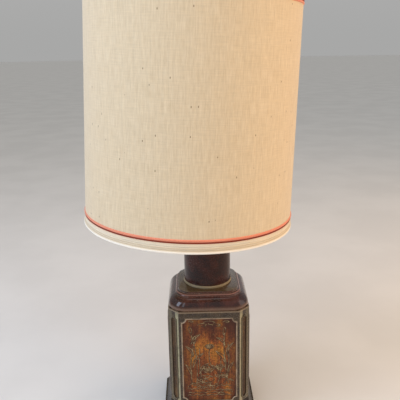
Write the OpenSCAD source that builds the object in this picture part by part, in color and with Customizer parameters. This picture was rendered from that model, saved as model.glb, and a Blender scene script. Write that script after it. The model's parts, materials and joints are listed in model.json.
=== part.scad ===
// Table lamp: canted square metal base, round neck, harp and tapered drum shade.
// Millimetres, +Z up. Origin on the floor, under the centre of the base.

/* [Foot] */
// Thickness of the felt pad under the foot
pad_t = 2; // [1:0.5:4]
// How far the felt pad stays inside the plinth's edge
pad_inset = 1.5; // [0.5:0.5:4]
// Half width of the plinth across its flats
plinth_w = 97; // [95:0.5:104]
// Height of the plinth's upright edge
plinth_h = 22; // [20:0.5:28]
// Height and depth of the step along the plinth's upper edge
plinth_step = 2.5; // [1:0.5:4]
// Height of the hollow flare between plinth and body
flare_h = 36; // [30:1:48]
// Width of the ledge that the plinth leaves round the flare
flare_ledge = 1; // [0.5:0.5:3]
// Wall of the hollow plinth
foot_wall = 4; // [3.5:0.5:5]
// Height of the pocket under the bottom plate
pocket_h = 6.5; // [6:0.5:7.5]
// Thickness of the bottom plate
plate_t = 1.5; // [1:0.1:2.5]
// Width of the ledge that the bottom plate rests against
ledge = 4; // [3:0.5:6]
// Bore of the cord inlet
inlet_bore = 5.6; // [5:0.1:6.2]
// Height of the cord inlet above the bottom plate
inlet_up = 5.5; // [5.5:0.5:6]

/* [Body] */
// Half width of the body across its flats
body_w = 81.5; // [78:0.5:82]
// Height of the body's straight sides
body_h = 209; // [180:1:240]
// Width cut off each flat by a canted corner
cant = 22; // [20:0.5:25]
// Radius of the body's upright edges
edge_r = 5; // [4:0.5:8]
// Wall of the body
wall = 3; // [2.5:0.1:4]

/* [Panels] */
// How far the middle of a frame's bead stays from the edge of the flat
frame_side = 5; // [5:0.5:10]
// How far the middle of a frame's bead stays from the body's top
frame_top = 14; // [8:0.5:20]
// How far the middle of a frame's bead stays from the body's foot
frame_foot = 7; // [5:0.5:16]
// Radius of the scooped corners of a frame
scoop = 8.5; // [6:0.5:12]
// How far the middle of a narrow frame's bead stays from the edge of the cant
strip_side = 8.5; // [7:0.5:9.5]
// Radius of the scooped corners of a narrow frame
strip_scoop = 4; // [3:0.5:4.5]
// Radius of the frames' bead
bead_r = 1.6; // [1.2:0.1:2]
// Thickness of a panel
panel_t = 1.2; // [0.8:0.1:1.4]
// How far a panel's face lies behind the body's face
panel_sink = 0.4; // [0.2:0.1:0.8]

/* [Shoulder] */
// Height of the groove between body and shoulder
groove_h = 3; // [2:0.5:4]
// Depth of that groove
groove_in = 2.2; // [1:0.2:3]
// How far the shoulder's lower edge stays inside the body's face
shoulder_in = 0.8; // [0:0.2:2]
// Height of the pillow curve above the groove
pillow_h = 22.5; // [18:0.5:26]
// Radius of the small round curve over the pillow curve
ovolo_r = 4.5; // [3:0.5:6]
// Half width of the platform that carries the neck
platform_w = 60.5; // [58:0.5:62]
// Height of the platform's upright edge
platform_h = 4.5; // [3:0.5:6]

/* [Neck] */
// Radius of the neck tube
neck_r = 47.5; // [42:0.5:49]
// Wall of the neck tube
neck_wall = 2; // [1.5:0.1:3]
// Height of the neck tube
neck_h = 97; // [80:1:120]
// Radius of the ring at the neck's foot
ring_r = 2.5; // [1.5:0.1:3]
// Height of the stepped cap on the neck
cap_h = 12; // [9:0.5:16]

/* [Stem] */
// Outer radius of the threaded pipe
pipe_r = 4.9; // [4.5:0.1:5.2]
// Bore radius of the threaded pipe
pipe_bore = 3.5; // [3:0.1:4]
// Height of the riser column on the neck cap
riser_h = 111.5; // [90:0.5:140]
// Radius of the riser column
riser_r = 7; // [6.5:0.1:9]
// How far the riser's foot stands out round it
riser_flange = 6; // [4:0.5:8]
// Height of the riser's foot
riser_foot_h = 5; // [4:0.5:7]
// Radius of the beads at the riser's two ends
riser_bead = 2; // [1.5:0.1:2.5]
// How far the riser and all on it lean to the left, in degrees
lean = 2.3; // [0:0.1:3]

/* [Harp] */
// Height of the harp from saddle to stud
harp_h = 330; // [300:1:360]
// Thickness of the harp wire
wire_d = 3.4; // [3:0.1:4]
// Half distance between the harp's legs at the saddle
leg_x = 32; // [30:0.5:36]
// Angle at which the legs spread, in degrees
spread = 15; // [12:0.5:18]
// Angle at which the sides draw in towards the crown, in degrees
draw_in = 7; // [5:0.5:10]
// Length of a ferrule
ferrule_l = 16; // [12:1:20]
// How far a ferrule slides up its leg
ferrule_travel = 14; // [10:1:16]

/* [Socket] */
// Radius of the socket's outer shell
socket_r = 17; // [16.5:0.1:18.5]
// Height of the socket from saddle to rim
socket_h = 62; // [58:1:68]
// Wall of the socket's spun metal
socket_wall = 0.8; // [0.6:0.1:1]
// Inner radius of the screw shell
screw_r = 13.4; // [13.3:0.05:13.6]
// Length of the switch key's blade
key_l = 22; // [16:1:26]

/* [Bulb] */
// Radius of the bulb's glass at its widest
bulb_r = 30; // [27:0.5:33]
// Height of the glass above the socket's rim
bulb_h = 86; // [80:1:96]

/* [Shade] */
// Height of the shade
shade_h = 432; // [400:1:460]
// Radius of the shade at its lower rim
shade_r0 = 203; // [190:0.5:215]
// How much smaller the radius of the shade's upper rim is
shade_taper = 6.5; // [0:0.5:14]
// Thickness of the stiff liner
liner_t = 1; // [0.8:0.1:1.4]
// Thickness of the fabric
fabric_t = 0.8; // [0.5:0.1:1.2]
// Height of the cream bands at the rims
band_h = 18; // [14:0.5:24]
// Thickness of the cream bands
band_t = 0.7; // [0.5:0.1:1]
// Radius of the coral piping
piping_r = 3; // [2:0.1:4]
// Thickness of the wire in the shade's two rings
ring_d = 4; // [3:0.5:5]
// How far the spider's washer lies below the upper rim
spider_drop = 14; // [10:0.5:20]
// How far the shade leans to the right, in degrees
shade_tilt = 2.7; // [0:0.1:3.5]
// Height of the finial
finial_h = 30; // [24:1:38]

/* [Hidden] */
$fn = 96;

// General clearances: flat seats touch, rotating and sliding pairs keep these gaps
slip = 0.05;
gap = 0.3;
big = 400;

// Heights along the base
z_plinth = pad_t;
z_plate = z_plinth + pocket_h;
inlet_z = z_plate + plate_t + inlet_up;
z_flare = z_plinth + plinth_h;
z_body = z_flare + flare_h;
z_groove = z_body + body_h;
z_pillow = z_groove + groove_h;
z_ovolo = z_pillow + pillow_h;
z_platform = z_ovolo + ovolo_r;
z_neck = z_platform + platform_h;
z_cap = z_neck + neck_h;
z_riser = z_cap + cap_h;

// A canted corner lies this much further out than a flat does
cant_extra = (2 * body_w - cant) / sqrt(2) - body_w;
// A parallel inset shortens the cut by this share of the inset
cut_share = 2 - sqrt(2);
pipe_hole = pipe_r + 0.2;
// The plinth stands out this much further than the body, and its inner wall this much
plinth_out = plinth_w - body_w;
plinth_in = plinth_out - foot_wall;
inner_edge = max(edge_r - wall, 1);
// How far the flare stands out at its lower end
flare_out = plinth_out - plinth_step - flare_ledge;
// Courses that stand on each other run this far into each other
course_lap = 1;

// Outline of the base in plan, inset by a distance from the body's face
module outline(inset, r) {
    w = body_w - inset - r;
    c = cant - cut_share * (inset + r);
    for (turn = [0, 90]) rotate(turn) square([2 * (w - c), 2 * (w + r)], center = true);
    for (turn = [45, 135]) rotate(turn) {
        square([c * sqrt(2), 2 * (body_w - inset + cant_extra)], center = true);
    }
    for (turn = [0 : 90 : 270], side = [-1, 1]) rotate(turn) translate([side * (w - c), w]) circle(r);
}

// Upright prism over that outline
module prism(inset, r, z0, z1) {
    translate([0, 0, z0]) linear_extrude(height = z1 - z0) outline(inset, r);
}

// Moulding with mitred corners: a half-width profile run round the flats and the cants.
// Its children draw the profile upright and add $grow to each half width.
module mitred() {
    intersection_for (turn = [0 : 45 : 135]) {
        rotate([90, 0, turn]) linear_extrude(height = big, center = true) {
            let ($grow = turn % 90 == 0 ? 0 : cant_extra) children();
        }
    }
}

// Upright rectangle of a half width, for a moulding's profile
module band(w, z0, z1) {
    translate([-w - $grow, z0]) square([2 * (w + $grow), z1 - z0]);
}

// Stretch of a profile that narrows from one half width to another
module slope(w0, z0, w1, z1) {
    polygon([[-w0 - $grow, z0], [w0 + $grow, z0], [w1 + $grow, z1], [-w1 - $grow, z1]]);
}

// Pair of circles cut from or added to a profile at a distance from its middle
module rounds(x, z, r) {
    for (side = [-1, 1]) translate([side * (x + $grow), z]) circle(r);
}

// Places a child that faces -Y on one of the eight sides: a flat each quarter turn, a cant between
module on_side(turn) {
    rotate(turn) translate([0, turn % 90 == 0 ? 0 : -cant_extra, 0]) children();
}

module felt_pad() {
    color("darkolivegreen") prism(pad_inset - plinth_out, edge_r, 0, pad_t);
}

// Profile of the hollow curve between plinth and body; it runs on into the plinth
module flare_profile() {
    flare_r = (flare_out * flare_out + flare_h * flare_h) / (2 * flare_out);
    difference() {
        band(body_w + flare_out + 2 * course_lap, z_flare - course_lap, z_body);
        rounds(body_w + flare_r, z_body, flare_r);
    }
}

// Hollow behind the flare, narrowing towards the body
module flare_inside() {
    waist = z_flare + flare_h / 2;
    band(body_w + wall, z_plate, foot_ceiling);
    slope(body_w + wall, foot_ceiling - course_lap, body_w - wall, waist);
    band(body_w - wall, waist - course_lap, z_body + 1);
}

foot_ceiling = z_flare - foot_wall;

// Cast foot: a stepped plinth under the flare, with the bottom plate in a recess under a ledge
module foot() {
    color("saddlebrown") difference() {
        union() {
            prism(-plinth_out, edge_r, z_plinth, z_flare - plinth_step);
            prism(plinth_step - plinth_out, edge_r, z_plinth, z_flare);
            mitred() flare_profile();
        }
        mitred() flare_inside();
        prism(ledge - plinth_in, inner_edge, z_plate, foot_ceiling);
        prism(-plinth_in, edge_r, z_plinth - 1, z_plate + plate_t);
        inlet_hole(bushing_r);
    }
}

plate_gap = 0.2;

module bottom_plate() {
    color("gray") difference() {
        prism(plate_gap - plinth_in, edge_r, z_plate, z_plate + plate_t);
        translate([0, 0, z_plate - 1]) cylinder(r = pipe_hole, h = plate_t + 2);
    }
}

washer_t = 1;
nut_h = 4.5;

module bottom_washer() {
    color("silver") translate([0, 0, z_plate - washer_t]) difference() {
        cylinder(r = 12, h = washer_t);
        translate([0, 0, -1]) cylinder(r = pipe_hole, h = washer_t + 2);
    }
}

module bottom_nut() {
    color("silver") translate([0, 0, z_plate - washer_t - nut_h]) difference() {
        cylinder(r = 8.2, h = nut_h, $fn = 6);
        translate([0, 0, -1]) cylinder(r = pipe_r, h = nut_h + 2);
    }
}

bushing_r = inlet_bore / 2 + 1.3;
bushing_flange_r = bushing_r + 1.4;
bushing_flange_t = 1.5;

inlet_l = foot_wall + ledge;

// Round passage through the back wall of the plinth
module inlet_hole(r) {
    translate([0, plinth_w - inlet_l - 4, inlet_z]) rotate([-90, 0, 0]) cylinder(r = r, h = inlet_l + 8);
}

module cord_bushing() {
    color("black") difference() {
        union() {
            translate([0, plinth_w - inlet_l, inlet_z]) rotate([-90, 0, 0]) cylinder(r = bushing_r, h = inlet_l);
            translate([0, plinth_w, inlet_z]) rotate([-90, 0, 0]) {
                cylinder(r = bushing_flange_r, h = bushing_flange_t);
            }
        }
        inlet_hole(inlet_bore / 2);
    }
}

// Frames, measured to the middle of their bead: half widths, half height and height of the middle
frame_a = body_w - cant - frame_side;
strip_a = cant / sqrt(2) - strip_side;
frame_b = (body_h - frame_top - frame_foot) / 2;
frame_mid = (body_h - frame_top + frame_foot) / 2;

// Window with scooped corners, set out from the middle of a frame's bead of half width a
module window(a, corner, out) {
    r = corner - out;
    difference() {
        square([2 * (a + out), 2 * (frame_b + out)], center = true);
        for (mx = [0, 1], my = [0, 1]) mirror([mx, 0]) mirror([0, my]) translate([a, frame_b]) {
            circle(r);
            translate([-r, 0]) square(2 * corner);
            translate([0, -r]) square(2 * corner);
        }
    }
}

// Slab over that window, between two depths measured inward from the body's face
module window_slab(a, corner, out, deep, shallow) {
    translate([0, deep - body_w, z_body + frame_mid]) rotate([90, 0, 0]) {
        linear_extrude(height = deep - shallow) window(a, corner, out);
    }
}

panel_gap = 0.1;

// Recess for a panel and its frame
module panel_seat(a, corner) {
    window_slab(a, corner, bead_r + panel_gap, panel_sink + panel_t, -1 - bead_r);
}

module body_shell() {
    color("saddlebrown") difference() {
        prism(0, edge_r, z_body, z_groove);
        prism(wall, inner_edge, z_body - 1, z_groove + 1);
        for (turn = [0 : 90 : 270]) {
            on_side(turn) panel_seat(frame_a, scoop);
            on_side(turn + 45) panel_seat(strip_a, strip_scoop);
        }
    }
}

module panel(a, corner) {
    color("peru") window_slab(a, corner, bead_r, panel_sink + panel_t, panel_sink);
}

// Half round bead round a panel, with scooped corners
module frame(a, corner) {
    color("darkkhaki") intersection() {
        translate([-a - 2 * bead_r, -body_w - 2 * bead_r, z_body]) {
            cube([2 * (a + 2 * bead_r), panel_sink + 2 * bead_r, body_h]);
        }
        translate([0, -body_w, z_body + frame_mid]) rotate([90, 0, 0]) {
            for (side = [-1, 1]) {
                translate([side * a, 0]) bead_bar(frame_b - corner, 90);
                translate([0, side * frame_b]) bead_bar(a - corner, 0);
            }
            for (mx = [0, 1], my = [0, 1]) mirror([mx, 0]) mirror([0, my]) {
                translate([a, frame_b]) rotate(180) rotate_extrude(angle = 90) {
                    translate([corner, 0]) circle(bead_r, $fn = 48);
                }
                translate([a - corner, frame_b]) sphere(bead_r, $fn = 48);
                translate([a, frame_b - corner]) sphere(bead_r, $fn = 48);
            }
        }
    }
}

// Straight stretch of the bead, centred, of a half length
module bead_bar(half, turn) {
    rotate(turn) rotate([0, 90, 0]) cylinder(r = bead_r, h = 2 * half, center = true, $fn = 48);
}

module panel_front() { on_side(0) panel(frame_a, scoop); }
module panel_right() { on_side(90) panel(frame_a, scoop); }
module panel_back() { on_side(180) panel(frame_a, scoop); }
module panel_left() { on_side(270) panel(frame_a, scoop); }
module frame_front() { on_side(0) frame(frame_a, scoop); }
module frame_right() { on_side(90) frame(frame_a, scoop); }
module frame_back() { on_side(180) frame(frame_a, scoop); }
module frame_left() { on_side(270) frame(frame_a, scoop); }
module strip_front_right() { on_side(45) panel(strip_a, strip_scoop); }
module strip_back_right() { on_side(135) panel(strip_a, strip_scoop); }
module strip_back_left() { on_side(225) panel(strip_a, strip_scoop); }
module strip_front_left() { on_side(315) panel(strip_a, strip_scoop); }
module strip_frame_front_right() { on_side(45) frame(strip_a, strip_scoop); }
module strip_frame_back_right() { on_side(135) frame(strip_a, strip_scoop); }
module strip_frame_back_left() { on_side(225) frame(strip_a, strip_scoop); }
module strip_frame_front_left() { on_side(315) frame(strip_a, strip_scoop); }

shoulder_w = body_w - shoulder_in;
ovolo_w = platform_w + 1;
// Narrow ledge between the pillow curve and the round curve over it
quirk = 0.6;
// Circle of the pillow curve: it rises upright from the groove and ends at the ledge
pillow_run = shoulder_w - (ovolo_w + ovolo_r + quirk);
pillow_r = (pillow_run * pillow_run + pillow_h * pillow_h) / (2 * pillow_run);
pillow_x = shoulder_w - pillow_r;

// Pillow curve of a radius, up to a height
module pillow_profile(r, top) {
    intersection() {
        union() {
            rounds(pillow_x, z_pillow, r);
            band(pillow_x, z_pillow, top);
        }
        band(body_w, z_pillow, top);
    }
}

// Lower course: the shadow groove, then the pillow curve over it
module pillow_course() {
    band(body_w - groove_in, z_groove, z_pillow + course_lap);
    pillow_profile(pillow_r, z_ovolo);
}

// Middle course: the round curve that turns in to the platform
module ovolo_course() {
    band(ovolo_w, z_ovolo - course_lap, z_platform);
    intersection() {
        rounds(ovolo_w, z_ovolo, ovolo_r);
        band(body_w, z_ovolo, z_platform);
    }
}

// Hollow inside of the shoulder
module shoulder_inside() {
    shelf = z_ovolo - wall;
    band(body_w - groove_in - wall, z_groove - 1, z_pillow + course_lap);
    pillow_profile(pillow_r - wall, shelf);
    slope(ovolo_w - wall / 2, shelf - course_lap, platform_w - 1.5 * wall, z_platform);
}

// Mitred cap of the body: three courses over a hollow inside
module shoulder() {
    color("sienna") difference() {
        union() {
            mitred() pillow_course();
            mitred() ovolo_course();
            mitred() band(platform_w, z_platform - course_lap, z_neck);
        }
        mitred() shoulder_inside();
        translate([0, 0, z_platform - 1]) cylinder(r = neck_r - 3 * neck_wall, h = platform_h + 2);
    }
}

module neck() {
    color("saddlebrown") rotate_extrude() difference() {
        union() {
            translate([neck_r - neck_wall, z_neck]) square([neck_wall, neck_h]);
            translate([neck_r, z_neck + ring_r]) circle(ring_r, $fn = 48);
            translate([neck_r - neck_wall, z_neck]) square([neck_wall + ring_r * 0.6, ring_r]);
            translate([neck_r, z_neck + 2.6 * ring_r]) circle(0.5 * ring_r, $fn = 48);
        }
        translate([0, z_neck - 1]) square([neck_r - neck_wall, neck_h + 2]);
    }
}

spigot_h = 4;

// Stepped cap: a rounded flange, a step and a shallow dome that carries the riser
module neck_cap() {
    flange = cap_h / 4;
    step = cap_h / 6;
    dome_h = cap_h - flange - step;
    dome_w = neck_r - 8;
    head_w = riser_foot_r + 1;
    dome_z = (dome_w * dome_w - head_w * head_w - dome_h * dome_h) / (2 * dome_h);
    color("saddlebrown") difference() {
        rotate_extrude() {
            translate([0, z_cap - spigot_h]) square([neck_r - neck_wall - slip, spigot_h]);
            translate([0, z_cap]) square([neck_r + 2 - flange / 2, flange]);
            translate([neck_r + 2 - flange / 2, z_cap + flange / 2]) circle(flange / 2, $fn = 48);
            translate([0, z_cap + flange]) square([neck_r - 5, step]);
            intersection() {
                translate([0, z_cap + flange + step]) square([dome_w, dome_h]);
                translate([0, z_cap + flange + step - dome_z]) circle(norm([dome_w, dome_z]));
            }
        }
        translate([0, 0, z_cap - spigot_h - 1]) {
            cylinder(r = neck_r - neck_wall - 3, h = spigot_h);
            cylinder(r = pipe_hole, h = big);
        }
    }
}

pipe_into_riser = 3;

module pipe() {
    z0 = z_plate - washer_t - nut_h;
    color("darkgray") translate([0, 0, z0]) difference() {
        cylinder(r = pipe_r - slip, h = z_riser + pipe_into_riser - z0);
        translate([0, 0, -1]) cylinder(r = pipe_bore, h = big + z_riser);
    }
}

// Everything on the riser leans with it, from the centre of the riser's foot
module leaning() {
    translate([0, 0, z_riser]) rotate([0, -lean, 0]) children();
}

riser_foot_r = riser_r + riser_flange;
// Round knop at the riser's middle, between two smaller beads
knop_r = 1.25 * riser_bead;
nipple_sunk = 8;
nipple_out = 12;

module riser() {
    color("goldenrod") difference() {
        union() {
            translate([0, 0, z_riser]) cylinder(r = riser_foot_r, h = riser_foot_h);
            leaning() rotate_extrude() {
                translate([0, riser_foot_h / 2]) square([riser_r, riser_h - riser_foot_h / 2]);
                translate([riser_r, riser_foot_h + riser_bead]) circle(riser_bead, $fn = 48);
                translate([riser_r, riser_h - riser_bead]) circle(riser_bead, $fn = 48);
                translate([riser_r, riser_h / 2]) circle(knop_r, $fn = 48);
                for (side = [-1, 1]) {
                    translate([riser_r, riser_h / 2 + side * 2 * knop_r]) circle(0.48 * knop_r, $fn = 48);
                }
            }
        }
        translate([0, 0, z_riser - 1]) cylinder(r = pipe_r, h = pipe_into_riser + 1);
        leaning() cylinder(r = pipe_bore, h = big);
        leaning() translate([0, 0, riser_h - nipple_sunk]) cylinder(r = pipe_r, h = big);
    }
}

module nipple() {
    color("darkgray") leaning() translate([0, 0, riser_h - nipple_sunk]) difference() {
        cylinder(r = pipe_r - slip, h = nipple_sunk + nipple_out);
        translate([0, 0, -1]) cylinder(r = pipe_bore, h = big);
    }
}

saddle_t = 1.6;
post_foot = 12;

// Heights above the saddle's underside, in the leaning stack
module on_saddle() {
    leaning() translate([0, 0, riser_h]) children();
}

module harp_saddle() {
    color("goldenrod") on_saddle() difference() {
        union() {
            translate([-leg_x, -7, 0]) cube([2 * leg_x, 14, saddle_t]);
            for (side = [-1, 1]) translate([side * leg_x, 0, 0]) {
                cylinder(r = 7, h = saddle_t);
                cylinder(r = wire_d / 2 + 1.2, h = post_foot);
                cylinder(d = wire_d, h = post_foot + ferrule_l / 2, $fn = 48);
            }
        }
        translate([0, 0, -1]) cylinder(r = pipe_hole, h = saddle_t + 2);
    }
}

collar_r = pipe_r + 2;
collar_h = 9;
cap_top = 24;
shell_z = cap_top - 6;
// The shell slips inside the cap's rim
shell_r = socket_r - socket_wall - slip;

module socket_cap() {
    color("goldenrod") on_saddle() translate([0, 0, saddle_t]) difference() {
        rotate_extrude() {
            translate([0, 0]) square([collar_r, collar_h]);
            translate([0, collar_h - socket_wall]) square([socket_r - 4, 4 + socket_wall]);
            translate([socket_r - 4, collar_h - socket_wall + 4]) circle(4, $fn = 48);
            translate([0, collar_h + 3]) square([socket_r, cap_top - collar_h - 3]);
        }
        translate([0, 0, -1]) cylinder(r = pipe_r, h = big);
        translate([0, 0, collar_h + 3]) cylinder(r = socket_r - socket_wall, h = big);
    }
}

module socket_shell() {
    color("goldenrod") on_saddle() difference() {
        translate([0, 0, saddle_t + shell_z]) {
            cylinder(r = shell_r, h = socket_h - saddle_t - shell_z);
        }
        translate([0, 0, saddle_t + shell_z - 1]) cylinder(r = shell_r - socket_wall, h = big);
        key_hole(key_r + 0.8);
    }
}

liner_wall = 0.6;
liner_r = shell_r - socket_wall - slip;

module socket_liner() {
    color("tan") on_saddle() difference() {
        translate([0, 0, saddle_t + shell_z]) {
            cylinder(r = liner_r, h = socket_h - saddle_t - shell_z - 1);
        }
        translate([0, 0, saddle_t + shell_z - 1]) cylinder(r = liner_r - liner_wall, h = big);
        key_hole(key_r + 0.8);
    }
}

key_r = 2.2;
key_z = 30;
key_depth = 8;
core_r = liner_r - liner_wall - slip;
core_z = saddle_t + shell_z;
core_h = 19;
contact_z = core_z + core_h;

// Passage for the switch key, towards the front
module key_hole(r) {
    translate([0, 0, key_z]) rotate([90, 0, 0]) cylinder(r = r, h = big);
}

module switch_body() {
    color("saddlebrown") on_saddle() difference() {
        translate([0, 0, core_z]) cylinder(r = core_r, h = core_h);
        translate([0, -core_r + key_depth, key_z]) rotate([90, 0, 0]) {
            cylinder(r = key_r + slip, h = big);
        }
    }
}

module switch_key() {
    color("goldenrod") on_saddle() translate([0, -core_r + key_depth - gap, key_z]) {
        rotate([90, 0, 0]) {
            reach = key_depth + key_l / 2 + 3;
            cylinder(r = key_r, h = reach);
            translate([0, 0, reach - 1]) cylinder(r = key_r + 1.6, h = 3);
            translate([-1.5, 0, reach + 2]) rotate([0, 90, 0]) key_blade();
        }
    }
}

// Flat two-lobed blade of the key, each lobe pierced
module key_blade() {
    lobe_r = 5;
    linear_extrude(height = 3) difference() {
        union() {
            for (side = [-1, 1]) translate([-4, side * (key_l / 2 - lobe_r)]) circle(lobe_r, $fn = 48);
            translate([-4, 0]) square([8, key_l - 2 * lobe_r], center = true);
        }
        for (side = [-1, 1]) translate([-4, side * (key_l / 2 - lobe_r)]) circle(1.8, $fn = 48);
    }
}

screw_wall = 0.5;

module screw_shell() {
    color("gold") on_saddle() difference() {
        translate([0, 0, contact_z]) cylinder(r = screw_r + screw_wall, h = socket_h - contact_z - 0.5);
        translate([0, 0, contact_z + screw_wall]) cylinder(r = screw_r, h = big);
        translate([0, 0, contact_z - 1]) cylinder(r = 7, h = big);
    }
}

contact_h = 4;

module centre_contact() {
    color("gold") on_saddle() translate([0, 0, contact_z]) {
        cylinder(r = 3, h = contact_h - 1);
        cylinder(r = 2, h = contact_h);
    }
}

// The bulb stands over the centre contact
tip_z = contact_z + contact_h + gap;
bulb_cap_r = screw_r - 0.35;
glass_r0 = 12.4;

module bulb_cap() {
    color("silver") on_saddle() translate([0, 0, tip_z]) {
        cylinder(r = 4, h = 2);
        translate([0, 0, 1.5]) cylinder(r1 = 6, r2 = bulb_cap_r - 1, h = 3.5);
        translate([0, 0, 5]) cylinder(r = bulb_cap_r, h = socket_h - tip_z - 5 + 2);
    }
}

glass_t = 0.8;

// Half profile of the bulb: a round head drawn down through a hollow curve to an upright throat.
// It is drawn smaller all over by an inset, down to a height.
module bulb_profile(inset, foot_z) {
    head_z = socket_h + bulb_h - bulb_r;
    throat_r = 34;
    curve_x = throat_r + glass_r0;
    // The hollow curve is tangent to the head and to the throat
    curve_z = head_z - sqrt((bulb_r + throat_r) * (bulb_r + throat_r) - curve_x * curve_x);
    share = (bulb_r - inset) / (bulb_r + throat_r);
    intersection() {
        translate([0, head_z]) circle(bulb_r - inset);
        square([bulb_r, big]);
    }
    difference() {
        translate([0, curve_z]) square([share * curve_x, (1 - share) * (head_z - curve_z)]);
        translate([curve_x, curve_z]) circle(throat_r + inset);
    }
    translate([0, foot_z]) square([glass_r0 - inset, head_z - foot_z]);
}

module bulb_glass() {
    foot_z = socket_h + 2;
    color("white") on_saddle() rotate_extrude() difference() {
        bulb_profile(0, foot_z);
        bulb_profile(glass_t, foot_z - 1);
    }
}

// Path of a harp leg: [length] runs straight, [radius, turn] bends, heading measured outward
bend_low = 30;
bend_side = 150;
bend_top = 38;
top_run = 4;
leg_start = post_foot + ferrule_l / 2 + gap;
leg_straight = ferrule_l / 2 + ferrule_travel + 2;
// Width and height that the two slanting runs have to make up between the bends
span_x = leg_x + bend_low * (1 - cos(spread)) + bend_side * (cos(draw_in) - cos(spread))
    - bend_top * cos(draw_in) - top_run;
span_z = harp_h - leg_start - leg_straight - bend_low * sin(spread)
    - bend_side * (sin(spread) + sin(draw_in)) - bend_top * (1 - sin(draw_in));
// Straight runs a (outward) and b (inward) solve a sin s + span_x = b sin d, a cos s + b cos d = span_z
run_b = (span_z * sin(spread) + span_x * cos(spread)) / sin(spread + draw_in);
run_a = (span_z * sin(draw_in) - span_x * cos(draw_in)) / sin(spread + draw_in);
leg_path = [
    [leg_straight],
    [bend_low, spread],
    [run_a],
    [bend_side, -spread - draw_in],
    [run_b],
    [bend_top, draw_in - 90]
];

// Draws the wire along the path, each step in the place where the last one ends
module wire_along(path, i = 0) {
    if (i < len(path)) {
        step = path[i];
        if (len(step) == 1) {
            translate([0, 0, -gap]) cylinder(d = wire_d, h = step[0] + 2 * gap, $fn = 32);
            translate([0, 0, step[0]]) wire_along(path, i + 1);
        } else {
            side = step[1] > 0 ? 1 : -1;
            translate([side * step[0], 0, 0]) rotate([90, 0, 0]) rotate(side > 0 ? 180 : 0) {
                bend(step[0], abs(step[1]), side);
            }
            translate([side * step[0], 0, 0]) rotate([0, step[1], 0]) translate([-side * step[0], 0, 0]) {
                wire_along(path, i + 1);
            }
        }
    }
}

// Bent stretch of wire about the origin, drawn a hair thinner by its die
module bend(r, turn, side) {
    rotate(side > 0 ? -turn : 0) rotate_extrude(angle = turn) {
        translate([r, 0]) circle(d = wire_d - slip, $fn = 32);
    }
}

// Two bent legs and the short level run between them that carries the stud
module harp_wire() {
    crown = top_run + gap;
    color("goldenrod") on_saddle() {
        for (side = [0, 1]) mirror([side, 0, 0]) translate([leg_x, 0, leg_start]) wire_along(leg_path);
        translate([-crown, 0, harp_h]) rotate([0, 90, 0]) cylinder(d = wire_d, h = 2 * crown, $fn = 32);
    }
}

module ferrule(side) {
    color("gold") on_saddle() translate([side * leg_x, 0, post_foot + gap]) difference() {
        cylinder(d = wire_d + 3.2, h = ferrule_l);
        translate([0, 0, -1]) cylinder(d = wire_d + 2 * slip, h = ferrule_l + 2, $fn = 48);
    }
}

module ferrule_left() { ferrule(-1); }
module ferrule_right() { ferrule(1); }

// The stud and the shade stand in a frame of their own over the harp's crown
module on_stud() {
    on_saddle() translate([0, 0, harp_h]) rotate([0, lean + shade_tilt, 0]) children();
}

stud_r = 3.15;
stud_h = 16;
stud_flange = 8;
seat = 4;
washer_r = 13;
spider_t = 1.5;

module harp_stud() {
    color("goldenrod") difference() {
        on_stud() {
            translate([0, 0, -4]) cylinder(r = 5.5, h = 6);
            translate([0, 0, 2]) cylinder(r = stud_flange, h = seat - 2 - gap);
            cylinder(r = stud_r, h = seat + stud_h);
        }
        harp_wire();
    }
}

// The washer's underside is at this height in the stud's frame; the shade hangs from it
shade_z0 = seat + spider_drop - shade_h;

module on_shade() {
    on_stud() translate([0, 0, shade_z0]) children();
}

// Outer radius of the liner at a height of the shade
function liner_at(z) = shade_r0 - fabric_t - shade_taper * z / shade_h;

// Cone ring whose inner and outer faces are set off from the liner's outer face
module cone_ring(z0, z1, t0, t1) {
    rotate_extrude($fn = 180) polygon([
        [liner_at(z0) + t0, z0],
        [liner_at(z0) + t1, z0],
        [liner_at(z1) + t1, z1],
        [liner_at(z1) + t0, z1]
    ]);
}

module shade_liner() {
    color("white") on_shade() cone_ring(0, shade_h, -liner_t, 0);
}

module shade_fabric() {
    color("linen") on_shade() cone_ring(0, shade_h, 0, fabric_t);
}

module band_bottom() {
    color("ivory") on_shade() cone_ring(0, band_h, fabric_t + slip, fabric_t + band_t);
}

module band_top() {
    color("ivory") on_shade() cone_ring(shade_h - band_h, shade_h, fabric_t + slip, fabric_t + band_t);
}

// Half round piping on the fabric, beside a band
module piping(z) {
    color("indianred") on_shade() rotate_extrude($fn = 180) intersection() {
        translate([liner_at(z) + fabric_t, z]) circle(piping_r, $fn = 48);
        polygon([
            [liner_at(z - piping_r) + fabric_t, z - piping_r],
            [liner_at(z) + 2 * piping_r, z - piping_r],
            [liner_at(z) + 2 * piping_r, z + piping_r],
            [liner_at(z + piping_r) + fabric_t, z + piping_r]
        ]);
    }
}

module piping_bottom() { piping(band_h + piping_r); }
module piping_top() { piping(shade_h - band_h - piping_r); }

seam_w = 12;
seam_t = 0.6;

// Lap of the fabric at the back, between the two pipings
module shade_seam() {
    trim = band_h + 2 * piping_r;
    color("linen") on_shade() intersection() {
        cone_ring(trim, shade_h - trim, fabric_t + slip, fabric_t + seam_t);
        translate([-seam_w / 2, 0, 0]) cube([seam_w, big, shade_h]);
    }
}

// Wire ring inside the liner, at a height of the shade
module shade_ring(z) {
    color("gainsboro") on_shade() translate([0, 0, z]) rotate_extrude($fn = 180) {
        translate([liner_at(z) - liner_t - gap - ring_d / 2, 0]) circle(d = ring_d, $fn = 32);
    }
}

module ring_bottom() { shade_ring(ring_d / 2 + 1); }
module ring_top() { shade_ring(shade_h - ring_d / 2 - 1); }

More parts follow.
